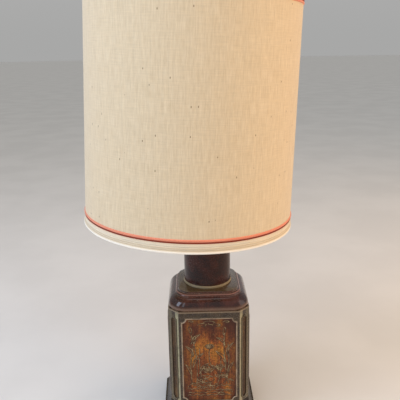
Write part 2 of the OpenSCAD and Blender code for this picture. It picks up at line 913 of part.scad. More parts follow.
// Straight rod between two points
module rod(from, to, d) {
    run = to - from;
    translate(from) rotate([0, acos(run[2] / norm(run)), atan2(run[1], run[0])]) {
        cylinder(d = d, h = norm(run), $fn = 32);
    }
}

arm_d = 3.5;
tongue_l = 12;
washer_hole = 5;

// Washer with three tongues, and a round arm from each tongue to the upper wire ring
module spider() {
    hub_z = shade_h - spider_drop;
    rim_z = shade_h - ring_d / 2 - 1;
    rim_r = liner_at(rim_z) - liner_t - gap - ring_d - slip;
    color("gainsboro") on_shade() {
        translate([0, 0, hub_z]) linear_extrude(height = spider_t) difference() {
            union() {
                circle(washer_r);
                for (turn = [90, 210, 330]) rotate(turn) {
                    translate([0, -arm_d]) square([washer_r + tongue_l, 2 * arm_d]);
                }
            }
            circle(washer_hole);
        }
        for (turn = [90, 210, 330]) rotate(turn) {
            rod([washer_r, 0, hub_z + spider_t / 2], [rim_r, 0, rim_z], arm_d);
        }
    }
}

// Turned finial: foot, waist and ball
module finial() {
    foot_z = seat + spider_t + gap;
    foot_h = 3;
    ball = finial_h * 0.27;
    waist = 5.5;
    hollow = 4;
    color("goldenrod") on_stud() translate([0, 0, foot_z]) difference() {
        rotate_extrude() difference() {
            union() {
                square([7.5, foot_h]);
                translate([0, foot_h]) square([waist + 1, finial_h - ball - foot_h]);
                intersection() {
                    translate([0, finial_h - ball]) circle(ball);
                    square([ball, finial_h]);
                }
            }
            translate([waist + hollow, foot_h + hollow]) circle(hollow, $fn = 48);
        }
        translate([0, 0, -1]) cylinder(r = stud_r + slip, h = seat + stud_h - foot_z + gap + 1);
    }
}

felt_pad();
foot();
bottom_plate();
bottom_washer();
bottom_nut();
cord_bushing();
body_shell();
panel_front();
panel_right();
panel_back();
panel_left();
frame_front();
frame_right();
frame_back();
frame_left();
strip_front_right();
strip_back_right();
strip_back_left();
strip_front_left();
strip_frame_front_right();
strip_frame_back_right();
strip_frame_back_left();
strip_frame_front_left();
shoulder();
neck();
neck_cap();
pipe();
riser();
nipple();
harp_saddle();
socket_cap();
socket_liner();
socket_shell();
switch_body();
screw_shell();
centre_contact();
switch_key();
harp_wire();
ferrule_left();
ferrule_right();
harp_stud();
shade_liner();
shade_fabric();
band_bottom();
band_top();
piping_bottom();
piping_top();
shade_seam();
ring_bottom();
ring_top();
spider();
finial();
bulb_glass();
bulb_cap();
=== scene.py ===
import json
from math import atan2, cos, pi, radians, sin, sqrt, tan

import bpy
from mathutils import Matrix, Vector


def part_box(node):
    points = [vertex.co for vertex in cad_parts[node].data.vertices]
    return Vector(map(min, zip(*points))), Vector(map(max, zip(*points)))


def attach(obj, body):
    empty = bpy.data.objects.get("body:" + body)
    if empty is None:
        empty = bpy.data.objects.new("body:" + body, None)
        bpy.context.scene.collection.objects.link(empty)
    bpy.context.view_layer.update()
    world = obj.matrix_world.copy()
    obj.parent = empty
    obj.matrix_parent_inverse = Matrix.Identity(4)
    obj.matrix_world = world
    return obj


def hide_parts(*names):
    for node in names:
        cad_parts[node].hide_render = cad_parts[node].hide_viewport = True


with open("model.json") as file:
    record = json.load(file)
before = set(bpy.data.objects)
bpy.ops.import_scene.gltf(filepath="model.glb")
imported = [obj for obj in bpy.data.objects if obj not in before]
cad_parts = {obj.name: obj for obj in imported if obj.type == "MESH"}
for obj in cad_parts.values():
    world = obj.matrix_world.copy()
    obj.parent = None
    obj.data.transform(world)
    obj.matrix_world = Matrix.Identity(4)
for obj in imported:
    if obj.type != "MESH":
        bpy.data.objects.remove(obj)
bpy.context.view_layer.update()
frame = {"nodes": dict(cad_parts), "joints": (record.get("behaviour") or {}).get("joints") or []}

# FELT PAD
# A sheet of pressed wool felt, cut to the plinth's outline and glued under it, so that the
# metal doesn't scratch the table. Matt, fuzzy and a little mottled, with a soft cut edge.

MM = 0.001
FELT_CANT = 30.2 * MM  # cut off each corner, along both sides
FELT_CORNER = 5 * MM  # radius left where the cuts meet the sides
FELT_SOFT = 0.4 * MM


def hue(code):
    """Linear colour of an sRGB hex code."""
    parts = [int(code[i:i + 2], 16) / 255 for i in (1, 3, 5)]
    return tuple(c / 12.92 if c <= 0.04045 else ((c + 0.055) / 1.055) ** 2.4 for c in parts) + (1,)


def feed(node, name, value):
    """Gives a node's input a number, a colour, an output, or a node, which means its first output."""
    if isinstance(value, bpy.types.Node):
        value = next(output for output in value.outputs if output.enabled)
    if isinstance(value, bpy.types.NodeSocket):
        node.id_data.links.new(value, node.inputs[name])
    else:
        node.inputs[name].default_value = value


def put(tree, kind, sockets=(), **settings):
    """Adds a node: settings are its own options, sockets go by name, or in the order that it shows them."""
    made = tree.nodes.new("ShaderNode" + kind)
    for option, value in settings.items():
        setattr(made, option, value)
    if not isinstance(sockets, dict):
        shown = [place for place, socket in enumerate(made.inputs) if socket.enabled]
        sockets = dict(zip(shown, sockets))
    for name, value in sockets.items():
        feed(made, name, value)
    return made


def begin_finish(name, **sockets):
    """Starts a finish: its material, node tree and surface shader."""
    finish = bpy.data.materials.new(name)
    finish.use_nodes = True
    tree = finish.node_tree
    surface = tree.nodes["Principled BSDF"]
    for socket, value in sockets.items():
        surface.inputs[socket.replace("_", " ")].default_value = value
    return finish, tree, surface


def grained(name, scale, tones, gloss, dent, **sockets):
    """Finish in two close tones whose grain also varies its roughness and dents its surface."""
    finish, tree, surface = begin_finish(name, **sockets)
    place = put(tree, "TexCoord").outputs["Object"]
    grain = put(tree, "TexNoise", {"Vector": place, "Scale": scale, "Detail": 4})
    share = put(tree, "MapRange", [grain, 0.35, 0.65, 0, 1], interpolation_type="SMOOTHSTEP")
    feed(surface, "Base Color", put(tree, "Mix", [share, hue(tones[0]), hue(tones[1])], data_type="RGBA"))
    rough = put(tree, "MapRange", [grain, 0.3, 0.7, *gloss], interpolation_type="SMOOTHSTEP")
    feed(surface, "Roughness", rough)
    feed(surface, "Normal", put(tree, "Bump", {"Height": grain, "Strength": 0.5, "Distance": dent}))
    return finish


def take(name, finish):
    """Names the piece that was just added and gives it its finish."""
    piece = bpy.context.object
    piece.name = piece.data.name = name
    piece.data.materials.append(finish)
    return piece


def wear(kind, **settings):
    """Adds a modifier to the active piece and applies it."""
    piece = bpy.context.object
    made = piece.modifiers.new(kind.title(), kind)
    for option, value in settings.items():
        setattr(made, option, value)
    bpy.ops.object.modifier_apply(modifier=made.name)


def canted_plate(half, cut, corner, z):
    """Adds a flat square plate with canted corners and rounded edges, and stays in edit mode."""
    bpy.ops.object.select_all(action="DESELECT")
    bpy.ops.mesh.primitive_plane_add(size=2 * half, location=(0, 0, z))
    bpy.ops.object.transform_apply(location=True, rotation=True, scale=True)
    bpy.ops.object.mode_set(mode="EDIT")
    bpy.ops.mesh.select_all(action="SELECT")
    bpy.ops.mesh.bevel(offset=cut, offset_type="OFFSET", affect="VERTICES", segments=1)
    bpy.ops.mesh.select_all(action="SELECT")
    # A corner of 135 degrees takes this share of the radius off each side
    bpy.ops.mesh.bevel(offset=corner * tan(pi / 8), offset_type="OFFSET", affect="VERTICES", segments=7)
    bpy.ops.mesh.select_all(action="SELECT")


# Pressed wool felt: tufts of about 1 mm, soft to the eye and without any shine
felt = grained("pressed_wool_felt", 900, ("#2F3A26", "#48543B"), (0.9, 1), 0.6 * MM, Sheen_Weight=0.5)

pad_low, pad_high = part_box("felt_pad")
canted_plate(pad_high.x, FELT_CANT, FELT_CORNER, pad_low.z)
bpy.ops.mesh.extrude_region_move(TRANSFORM_OT_translate={"value": (0, 0, pad_high.z - pad_low.z)})
bpy.ops.mesh.select_all(action="SELECT")
bpy.ops.mesh.normals_make_consistent(inside=False)
bpy.ops.object.mode_set(mode="OBJECT")
pad = take("felt_sheet", felt)
wear("BEVEL", width=FELT_SOFT, segments=2, limit_method="ANGLE", angle_limit=radians(60))
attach(pad, "base")
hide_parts("felt_pad")

# LACQUERED METAL OF THE BASE
# Cast and folded sheet brass under a dark brown lacquer that has gone olive with age. Every
# edge is painted as a pale olive line: partly where the coats have worn thin, partly a painted highlight.

EDGE_REACH = 2.2 * MM  # how far the pale edge line, wear and painted highlight, spreads from an edge
CANT_IN = 60 * MM  # inner edge of a cant's painted highlight band, from the nearer upright middle plane
CANT_IN_FULL = 61.8 * MM  # where the band has its full strength
CANT_OUT_FULL = 65.8 * MM
CANT_OUT = 68 * MM  # outer edge of the band, at the arris
LIP_LOW = 3 * MM  # where the top edge's painted highlight begins, below the body's top
LIP_FULL = 1.2 * MM


def dress(finish, *names):
    """Gives CAD nodes their finish."""
    for name in names:
        frame["nodes"][name].data.materials.clear()
        frame["nodes"][name].data.materials.append(finish)


def worn_and_highlit_edges(tree, reach, low, high):
    """Share of edge wear and painted edge highlight, from 0 to 1, where a hard edge lies within reach."""
    soft = put(tree, "Bevel", {"Radius": reach}, samples=6)
    true = put(tree, "NewGeometry").outputs["Normal"]
    lean = put(tree, "VectorMath", [soft, true], operation="DOT_PRODUCT").outputs["Value"]
    return put(tree, "MapRange", [lean, 1 - low, 1 - high, 0, 1])


def lacquer(name, deep, warm, rub_highlight, edge_share, **sockets):
    """Aged lacquer over brass: two tones in soft clouds, pale along the edges as wear and as a painted
    highlight.
    """
    finish, tree, surface = begin_finish(name, IOR=1.5, **sockets)
    place = put(tree, "TexCoord").outputs["Object"]
    # The coats cloud over about 26 mm, and grime of about 2.4 mm dulls their gloss in specks
    clouds = put(tree, "TexNoise", {"Vector": place, "Scale": 38, "Detail": 5, "Roughness": 0.6})
    grime = put(tree, "TexNoise", {"Vector": place, "Scale": 420, "Detail": 3})
    mottle = put(tree, "MapRange", [clouds, 0.35, 0.65, 0, 1], interpolation_type="SMOOTHSTEP")
    coats = put(tree, "Mix", [mottle, hue(deep), hue(warm)], data_type="RGBA")
    specks = put(tree, "MapRange", [grime, 0.35, 0.7, 0.82, 1.15], interpolation_type="SMOOTHSTEP")
    coats = put(tree, "Mix", [1, coats, specks], data_type="RGBA", blend_type="MULTIPLY")
    patchy = put(tree, "MapRange", [grime, 0.3, 0.6, 0.5, 1], interpolation_type="SMOOTHSTEP")
    # Edges are painted pale: partly wear, partly a painted highlight
    worn_and_highlit = put(tree, "Math", [worn_and_highlit_edges(tree, EDGE_REACH, 0.015, 0.16), edge_share], operation="MULTIPLY")
    worn_and_highlit = put(tree, "Math", [worn_and_highlit, patchy], operation="MULTIPLY")
    skin = put(tree, "Mix", [worn_and_highlit, coats, hue(rub_highlight)], data_type="RGBA")
    feed(surface, "Base Color", skin)
    gloss = put(tree, "MapRange", [grime, 0.2, 0.8, 0.14, 0.34], interpolation_type="SMOOTHSTEP")
    feed(surface, "Roughness", gloss)
    feed(surface, "Normal", put(tree, "Bump", {"Height": clouds, "Strength": 0.12, "Distance": 0.8 * MM}))
    return finish, tree, surface, place, skin


def inner(tree, place):
    """The smaller of a place's distances from the two upright middle planes."""
    spot = put(tree, "SeparateXYZ", [place]).outputs
    wide = put(tree, "Math", [spot["X"]], operation="ABSOLUTE")
    deep = put(tree, "Math", [spot["Y"]], operation="ABSOLUTE")
    return put(tree, "Math", [wide, deep], operation="MINIMUM")


# Olive brown lacquer: a soft gloss that mirrors the windows dimly, with pale edges, worn and painted as
# highlights
body_lacquer, tree, surface, place, skin = lacquer(
    "olive_brown_lacquer", "#2A1E15", "#463826", "#9A9074", 0.75,
)
# The cants' upright margins, beside the arrises, get a broad pale olive band: a painted highlight
near = inner(tree, place)
begun = put(tree, "MapRange", [near, CANT_IN, CANT_IN_FULL, 0, 1], interpolation_type="SMOOTHSTEP")
ended = put(tree, "MapRange", [near, CANT_OUT, CANT_OUT_FULL, 0, 1], interpolation_type="SMOOTHSTEP")
band = put(tree, "Math", [begun, ended], operation="MULTIPLY")
# The band is full beside the front and the back, and a quarter as strong beside the two sides
spot = put(tree, "SeparateXYZ", [place]).outputs
wide = put(tree, "Math", [spot["X"]], operation="ABSOLUTE")
deep = put(tree, "Math", [spot["Y"]], operation="ABSOLUTE")
ahead = put(tree, "Math", [deep, wide], operation="SUBTRACT")
facing = put(tree, "MapRange", [ahead, -2 * MM, 2 * MM, 0.25, 1], interpolation_type="SMOOTHSTEP")
band = put(tree, "Math", [band, facing], operation="MULTIPLY")
# It fades in patches of about 17 mm
patches = put(tree, "TexNoise", {"Vector": place, "Scale": 60, "Detail": 4})
fade = put(tree, "MapRange", [patches, 0.3, 0.5, 0.55, 1], interpolation_type="SMOOTHSTEP")
band = put(tree, "Math", [band, fade], operation="MULTIPLY")
skin = put(tree, "Mix", [band, skin, hue("#989274")], data_type="RGBA")
# The body's top edge, under the shoulder's groove, is painted bright as a highlight
up = put(tree, "SeparateXYZ", [place]).outputs["Z"]
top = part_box("body_shell")[1].z
lip_highlight = put(tree, "MapRange", [up, top - LIP_LOW, top - LIP_FULL, 0, 0.75], interpolation_type="SMOOTHSTEP")
feed(surface, "Base Color", put(tree, "Mix", [lip_highlight, skin, hue("#8C7A64")], data_type="RGBA"))
dress(body_lacquer, "body_shell")
# The foot has kept its lacquer: near black with little gloss, and olive only along its steps, as wear and
# painted highlight
foot_lacquer = lacquer("dark_foot_lacquer", "#160E09", "#271A10", "#776A50", 0.5, Specular_IOR_Level=0.25)[0]
dress(foot_lacquer, "foot")

# BOTTOM HARDWARE
# Zinc plated steel: the plate that closes the foot, and the washer and nut on the threaded
# pipe that clamp the whole stack together. Dull grey with a faint bluish bloom.

# Electroplated zinc on steel: a dull grey with a spangle of about 6 mm that is hardly seen
zinc = grained("zinc_plated_steel", 160, ("#8D9093", "#B4B6B6"), (0.34, 0.5), 0.05 * MM, Metallic=1)
dress(zinc, "bottom_plate", "bottom_washer", "bottom_nut", "pipe", "nipple")

# Moulded rubber: near black and matt, with the mould's spark texture of 1.5 mm
rubber = grained("moulded_bushing_rubber", 700, ("#141312", "#242220"), (0.65, 0.85), 0.1 * MM)
dress(rubber, "cord_bushing")

# ETCHED COPPER PANELS
# Thin copper sheet, etched and heat coloured, one on each flat and a narrow one on each cant.
# Amber and rust clouds run in upright streaks and darken to purple brown near the frames.

PANEL_SIDES = (("front", 0), ("right", 90), ("back", 180), ("left", 270))
STRIP_SIDES = (("front_right", 45), ("back_right", 135), ("back_left", 225), ("front_left", 315))
PANEL_MIDDLE = 150 * MM  # height at which a wide panel is lightest
AMBER = ("#3C1B10", "#6E371E", "#8F5025", "#A56929", "#BD8433")
SMOKY = ("#2A1B13", "#3B281B", "#4A3422", "#5A4229", "#6B5233")


def stretched(tree, place, shares, scale, detail, roughness=0.5, turn=0):
    """Noise whose grains are drawn out: the larger a direction's share, the finer they are along it."""
    laid = put(tree, "Mapping", {"Vector": place, "Scale": shares, "Rotation": (0, 0, radians(turn))})
    return put(tree, "TexNoise", {"Vector": laid, "Scale": scale, "Detail": detail, "Roughness": roughness})


def etched_copper(name, tones, wide):
    """Heat coloured copper: clouds of five tones, from dark to light, darker round a wide panel's edge."""
    finish, tree, surface = begin_finish(name, Metallic=0.3, IOR=1.4)
    place = put(tree, "TexCoord").outputs["Object"]
    # Clouds 22 mm wide and more than twice as high, where the flame lay longer or shorter
    clouds = stretched(tree, place, (1, 1, 0.4), 46, 6, 0.62)
    flame = put(tree, "ValToRGB", [clouds])
    stops = flame.color_ramp.elements
    stops[0].position, stops[0].color = 0.3, hue(tones[0])
    stops[1].position, stops[1].color = 0.72, hue(tones[4])
    for stop, code in zip((0.41, 0.51, 0.6), tones[1:4]):
        stops.new(stop).color = hue(code)
    # The acid's bite leaves a grain of 3 mm, with upright scratches and pale crumbs of 2 mm in it
    bite = put(
        tree, "TexNoise", {"Vector": place, "Scale": 330, "Detail": 3, "Roughness": 0.7, "Distortion": 1.2}
    )
    scratches = stretched(tree, place, (1, 1, 0.05), 380, 3)
    crumbs = put(tree, "TexNoise", {"Vector": place, "Scale": 520, "Detail": 2, "Distortion": 2})
    grain = put(tree, "MapRange", [bite, 0.34, 0.66, 0.38, 1.5], interpolation_type="SMOOTHSTEP")
    shown = put(tree, "Mix", [1, flame, grain], data_type="RGBA", blend_type="MULTIPLY")
    streaks = put(tree, "MapRange", [scratches, 0.3, 0.7, 0.72, 1.22], interpolation_type="SMOOTHSTEP")
    shown = put(tree, "Mix", [1, shown, streaks], data_type="RGBA", blend_type="MULTIPLY")
    pale = put(tree, "MapRange", [crumbs, 0.58, 0.7, 0, 0.55], interpolation_type="SMOOTHSTEP")
    shown = put(tree, "Mix", [pale, shown, hue("#A88C5E")], data_type="RGBA")
    if wide:
        up = put(tree, "SeparateXYZ", [place]).outputs["Z"]
        off = put(tree, "Math", [up, PANEL_MIDDLE], operation="SUBTRACT")
        off = put(tree, "Math", [off], operation="ABSOLUTE")
        end = put(tree, "MapRange", [off, 45 * MM, 100 * MM, 0, 1], interpolation_type="SMOOTHSTEP")
        side = put(
            tree, "MapRange", [inner(tree, place), 24 * MM, 56 * MM, 0, 1], interpolation_type="SMOOTHSTEP"
        )
        rim = put(tree, "Math", [side, end], operation="MAXIMUM")
        uneven = put(tree, "MapRange", [clouds, 0.35, 0.65, 0.95, 0.5], interpolation_type="SMOOTHSTEP")
        dusk = put(tree, "Math", [rim, uneven], operation="MULTIPLY")
        shown = put(tree, "Mix", [dusk, shown, hue("#46281F")], data_type="RGBA")
    feed(surface, "Base Color", shown)
    rough = put(tree, "MapRange", [bite, 0.3, 0.7, 0.3, 0.6], interpolation_type="SMOOTHSTEP")
    feed(surface, "Roughness", rough)
    feed(surface, "Normal", put(tree, "Bump", {"Height": bite, "Strength": 0.5, "Distance": 0.6 * MM}))
    return finish


# Etched copper: amber that glows in patches between rust and brown, rough with a low metal shine
amber_copper = etched_copper("etched_copper", AMBER, True)
dress(amber_copper, *["panel_" + side for side, turn in PANEL_SIDES])
# Smoked copper: the same metal, so darkened that it hardly parts from the lacquer
smoked_copper = etched_copper("smoked_copper", SMOKY, False)
dress(smoked_copper, *["strip_" + side for side, turn in STRIP_SIDES])

# RAISED LINES OF THE PANELS
# The drawing is left standing when the copper is etched: reeds, water lilies, stones and
# water lines of a general pond scene, a fraction of a millimetre proud, with dark bitten edges
# that are shifted below the lines as a painted shadow.

RIDGE = 0.5 * MM  # half the width of a raised line on a wide panel
BITE = 1.35 * MM  # half the width of the dark bite and painted shadow behind it
DROP = 0.5 * MM  # how far the bite lies below its line, as a painted shadow
STEM_RIDGE = 0.7 * RIDGE  # a narrow panel's stem is drawn in thinner lines
STEM_BITE = 0.8 * BITE
STEM_DROP = 0.3 * MM
FACE = 81.1 * MM  # distance of a wide panel's face from the lamp's axis
CANT_FACE = 98.2 * MM  # and of a narrow one's
MIDDLE = 164.5 * MM  # height of the panels' middle
RAISED, SUNK = 0.7, 0.06  # how much of its roundness a rod keeps when it is pressed on the face


def arc(x, z, rx, rz, start, stop, count=14, turn=0):
    """Points of an elliptical arc, in millimetres, angles in degrees."""
    points = []
    for i in range(count + 1):
        a = radians(start + (stop - start) * i / count)
        u, w = rx * cos(a), rz * sin(a)
        lean = radians(turn)
        points.append((x + u * cos(lean) - w * sin(lean), z + u * sin(lean) + w * cos(lean)))
    return points


def sway(x0, z0, x1, z1, bow, count=14):
    """Points of a bowed line between two places."""
    points = []
    run = sqrt((x1 - x0) ** 2 + (z1 - z0) ** 2)
    for i in range(count + 1):
        t = i / count
        push = bow * sin(pi * t) / run
        points.append((x0 + (x1 - x0) * t - push * (z1 - z0), z0 + (z1 - z0) * t + push * (x1 - x0)))
    return points


def blade(x0, z0, x1, z1, bow, width):
    """Two sides of a pointed leaf."""
    return [sway(x0, z0, x1, z1, bow + width), sway(x0, z0, x1, z1, bow - width)]


def water(x0, x1, z, swell, waves):
    """Points of a rippled line."""
    count = 6 * waves
    steps = [i / count for i in range(count + 1)]
    return [(x0 + (x1 - x0) * t, z + swell * sin(2 * pi * waves * t)) for t in steps]


def lily_pad(x, z, size, tilt):
    """Outline and veins of a floating leaf."""
    lines = [arc(x, z, size, size * 0.46, tilt, tilt + 335, 22)]
    for vein in range(0, 300, 50):
        a = radians(tilt + 20 + vein)
        lines.append([(x, z), (x + 0.8 * size * cos(a), z + 0.37 * size * sin(a))])
    return lines


def lily(x, z, size):
    """Open flower: petals round a middle."""
    lines = []
    for lean in (-64, -34, 0, 34, 64):
        tip = (x + size * sin(radians(lean)), z + size * cos(radians(lean)) * 0.9)
        lines += blade(x, z, tip[0], tip[1], 0, size * 0.2)
    lines.append(arc(x, z - size * 0.05, size * 0.5, size * 0.2, 180, 360, 8))
    return lines


def pond():
    """Every line of the drawing on a wide panel, in millimetres from its middle."""
    lines = []
    ripples = (
        (-46, 44, -84, 6), (-44, 20, -78, 5), (-10, 46, -72, 4), (-46, -12, -69, 3), (8, 44, -62, 3),
        (-40, -4, -55, 3),
    )
    for x0, x1, z, waves in ripples:
        lines.append(water(x0, x1, z, 1.1, waves))
    stones = ((-32, -66, 13, 9), (-19, -69, 8, 6), (34, -80, 12, 8), (24, -83, 7, 5), (41, -53, 7, 5))
    for x, z, rx, rz in stones:
        lines.append(arc(x, z, rx, rz, 5, 175, 12))
        lines.append(arc(x + rx * 0.1, z, rx * 0.55, rz * 0.6, 20, 120, 8))
    reeds = (
        (-36, -30, 40, 5), (-27, -38, 62, -6), (-14, -20, 24, 3), (30, 37, 34, -5), (38, 30, 58, 4),
        (16, 22, 2, -3),
    )
    for x0, x1, top, bow in reeds:
        lines.append(sway(x0, -58, x1, top, bow, 20))
    for x, z, tilt in ((-38, 66, 12), (30, 62, -8), (-30, 44, -6)):
        lines.append(arc(x, z, 2.4, 8.5, 0, 360, 16, tilt))
    leaves = (
        (-34, -20, -12, 14, 5, 2.6), (-33, 6, -48, 30, -4, 2.2), (-21, -34, -2, -10, 4, 2.4),
        (33, -16, 12, 18, -5, 2.6), (35, 8, 48, 36, 4, 2.2), (19, -36, 2, -14, -4, 2.2),
        (37, -34, 49, -8, 3, 2.2), (-37, -38, -49, -12, -3, 2.2), (-37, 34, -18, 56, 4, 2),
        (31, 30, 14, 48, -4, 2),
    )
    for leaf in leaves:
        lines += blade(*leaf)
    lines += lily_pad(-8, -46, 17, 30) + lily_pad(24, -38, 13, 160) + lily_pad(2, -62, 14, 80)
    lines += lily(-4, -28, 15) + lily(20, -22, 11) + lily(0, 26, 10)
    lines.append(sway(2, -14, 0, 26, 2, 10))
    clouds = ((-14, 76, 9), (0, 80, 12), (14, 75, 8), (34, 82, 6), (-36, 84, 5))
    for x, z, size in clouds:
        lines.append(arc(x, z, size, size * 0.42, 0, 180, 12))
        lines.append(arc(x + size * 0.3, z, size * 0.45, size * 0.25, 180, 400, 10))
    return lines


def stalk():
    """Lines on a narrow strip: one climbing stem with leaves to both sides."""
    lines = [water(-3, 3, -82, 0.6, 1), sway(0, -80, 0, 82, 1.2, 24)]
    for step in range(13):
        z = -74 + 12 * step
        side = 1 if step % 2 else -1
        lines += blade(0, z, side * 4.6, z + 9, side * -0.8, 1.1)
    return lines


def only(piece):
    """Selects one piece and nothing else."""
    if bpy.context.object and bpy.context.object.mode != "OBJECT":
        bpy.ops.object.mode_set(mode="OBJECT")
    bpy.ops.object.select_all(action="DESELECT")
    piece.select_set(True)
    bpy.context.view_layer.objects.active = piece


def rods(name, lines, thick, flat, drop, face, finish):
    """Rods along the lines, pressed flat on a panel's face at the front of the lamp."""
    curve = bpy.data.curves.new(name, "CURVE")
    curve.dimensions = "3D"
    curve.bevel_depth = thick
    curve.bevel_resolution = 1
    curve.use_fill_caps = True
    for line in lines:
        spline = curve.splines.new("POLY")
        spline.points.add(len(line) - 1)
        for point, (x, z) in zip(spline.points, line):
            point.co = (x * MM, 0, z * MM, 1)
    piece = bpy.data.objects.new(name, curve)
    bpy.context.scene.collection.objects.link(piece)
    only(piece)
    bpy.ops.object.convert(target="MESH")
    piece = bpy.context.object
    piece.data.transform(Matrix.Translation((0, -face, MIDDLE - drop)) @ Matrix.Diagonal((1, flat, 1, 1)))
    piece.data.materials.append(finish)
    bpy.ops.object.shade_smooth_by_angle(angle=radians(50))
    return piece


def set_round(model, name, sides):
    """Copies a piece to each side, with its own mesh turned there, and removes the model."""
    for side, turn in sides:
        piece = model.copy()
        piece.data = model.data.copy()
        piece.name = piece.data.name = name + "_" + side
        bpy.context.scene.collection.objects.link(piece)
        piece.data.transform(Matrix.Rotation(radians(turn), 4, "Z"))
        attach(piece, "base")
    bpy.data.objects.remove(model)


# Copper that the acid left: brown and tarnished, rubbed to pale gold in patches of about 9 mm
ridge_metal = grained("raised_line_copper", 110, ("#5A3C22", "#AE9A70"), (0.3, 0.45), 0.05 * MM, Metallic=0.5)
# Copper that the acid pitted: dark, rough and matt, in a grain of about 3 mm; below each line it is also a
# painted shadow
bite_and_shadow = grained("bitten_copper_and_shadow", 300, ("#20120A", "#4A2B17"), (0.6, 0.8), 0.2 * MM)

pond_lines, stalk_lines = pond(), stalk()
set_round(rods("bite_and_shadow", pond_lines, BITE, SUNK, DROP, FACE, bite_and_shadow), "bite_and_shadow_edge", PANEL_SIDES)
set_round(rods("raised", pond_lines, RIDGE, RAISED, 0, FACE, ridge_metal), "raised_line", PANEL_SIDES)
stem_bite_and_shadow = rods("bite_and_shadow", stalk_lines, STEM_BITE, SUNK, STEM_DROP, CANT_FACE, bite_and_shadow)
set_round(stem_bite_and_shadow, "bite_and_shadow_edge", STRIP_SIDES)
stem_raised = rods("raised", stalk_lines, STEM_RIDGE, RAISED, 0, CANT_FACE, ridge_metal)
set_round(stem_raised, "raised_line", STRIP_SIDES)

# BEAD FRAMES
# Half round brass wire with scooped corners, soldered round each panel over its edge. Its
# crown is a thin pinkish line, partly bare of lacquer and partly a painted highlight, between darker
# flanks that are partly old lacquer and partly painted shade.

CROWN_FOOT = 0.9 * MM  # where the crown's rub and painted highlight begin, below the bead's top
CROWN_FULL = 0.3 * MM
bead_top = -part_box("frame_front")[0].y
strip_bead = frame["nodes"]["strip_frame_front_right"].data.vertices
strip_bead_top = max((v.co.x - v.co.y) * sqrt(0.5) for v in strip_bead)


def bead_brass(name, rub_highlight, cant):
    """Brass with dark flanks, old lacquer and painted shade, and a crown rubbed and painted as a highlight.
    """
    finish, tree, surface = begin_finish(name, Metallic=0.45, Roughness=0.32)
    place = put(tree, "TexCoord").outputs["Object"]
    spot = put(tree, "SeparateXYZ", [place]).outputs
    wide = put(tree, "Math", [spot["X"]], operation="ABSOLUTE")
    deep = put(tree, "Math", [spot["Y"]], operation="ABSOLUTE")
    if cant:
        out = put(tree, "Math", [wide, deep], operation="ADD")
        out = put(tree, "Math", [out, sqrt(0.5)], operation="MULTIPLY")
        top = strip_bead_top
    else:
        out = put(tree, "Math", [wide, deep], operation="MAXIMUM")
        top = bead_top
    crown = put(
        tree, "MapRange", [out, top - CROWN_FOOT, top - CROWN_FULL, 0, 1], interpolation_type="SMOOTHSTEP"
    )
    # The rub and its painted highlight come and go over about 11 mm
    age = put(tree, "TexNoise", {"Vector": place, "Scale": 90, "Detail": 4})
    uneven = put(tree, "MapRange", [age, 0.3, 0.55, 0.55, 1], interpolation_type="SMOOTHSTEP")
    rub_and_highlight = put(tree, "Math", [crown, uneven], operation="MULTIPLY")
    feed(surface, "Base Color", put(tree, "Mix", [rub_and_highlight, hue("#2B1F16"), hue(rub_highlight)], data_type="RGBA"))
    return finish


# Rubbed brass: a satin wire, its crown rubbed and painted bright, its two edges dark with painted shade
dress(bead_brass("rubbed_highlit_bead_brass", "#A5917B", False), *["frame_" + side for side, turn in PANEL_SIDES])
# Dull brass: the same wire on the cants, with a fainter painted crown highlight
dress(bead_brass("dull_bead_brass", "#6A5F4B", True), *["strip_frame_" + side for side, turn in STRIP_SIDES])

# SHOULDER
# A spun and pressed cap with softened mitres, soldered over the body: a shadow groove, a
# pillow curve, a small round curve and the flat platform under the neck. Red brown lacquer.

shoulder_low, shoulder_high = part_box("shoulder")
SHOULDER_HALF = 80.7 * MM  # half widths, from the foot of the pillow up
GROOVE_HALF = 79.3 * MM
PILLOW_TOP_HALF = 66.6 * MM
ROUND_HALF = 61.5 * MM
PLATFORM_HALF = 60.5 * MM
GROOVE_H = 3 * MM
PILLOW_RISE = 22.5 * MM
ROUND_R = 4.5 * MM  # radius of the small round curve
SHOULDER_CANT = 22 * MM
MITRE_R = 26 * MM  # radius that softens each mitre
PILLOW_STEPS = 12
ROUND_STEPS = 6

# Red brown lacquer: the glossiest coat of the base, so that it mirrors the windows sharply
shoulder_lacquer, tree, surface, place, skin = lacquer(
    "red_brown_lacquer", "#2A0E08", "#4A2116", "#B79C86", 0.85,
    Specular_IOR_Level=0.15, Coat_Weight=0.9, Coat_Roughness=0.06,
)
pillow_foot = shoulder_low.z + GROOVE_H
round_foot = pillow_foot + PILLOW_RISE
up = put(tree, "SeparateXYZ", [place]).outputs["Z"]
# The pillow's foot is painted lighter: partly wear, partly a painted reflection of the room
reach, full = pillow_foot + 9 * MM, pillow_foot + 1.5 * MM
foot_wear_and_reflection = put(tree, "MapRange", [up, reach, full, 0, 0.6], interpolation_type="SMOOTHSTEP")
skin = put(tree, "Mix", [foot_wear_and_reflection, skin, hue("#7B5F4C")], data_type="RGBA")
# The crown of the small round curve is painted as a pale line about 1.5 mm wide: partly rub, partly painted
# highlight
off = put(tree, "Math", [up, round_foot + 0.75 * ROUND_R], operation="SUBTRACT")
off = put(tree, "Math", [off], operation="ABSOLUTE")
rub_highlight = put(tree, "MapRange", [off, 0.3 * MM, 1.1 * MM, 0.55, 0], interpolation_type="SMOOTHSTEP")
skin = put(tree, "Mix", [rub_highlight, skin, hue("#A5796C")], data_type="RGBA")
# Dust has turned the platform olive
top = shoulder_high.z
dust = put(tree, "MapRange", [up, top - 1.6 * MM, top - 0.2 * MM, 0, 0.8], interpolation_type="SMOOTHSTEP")
feed(surface, "Base Color", put(tree, "Mix", [dust, skin, hue("#544731")], data_type="RGBA"))

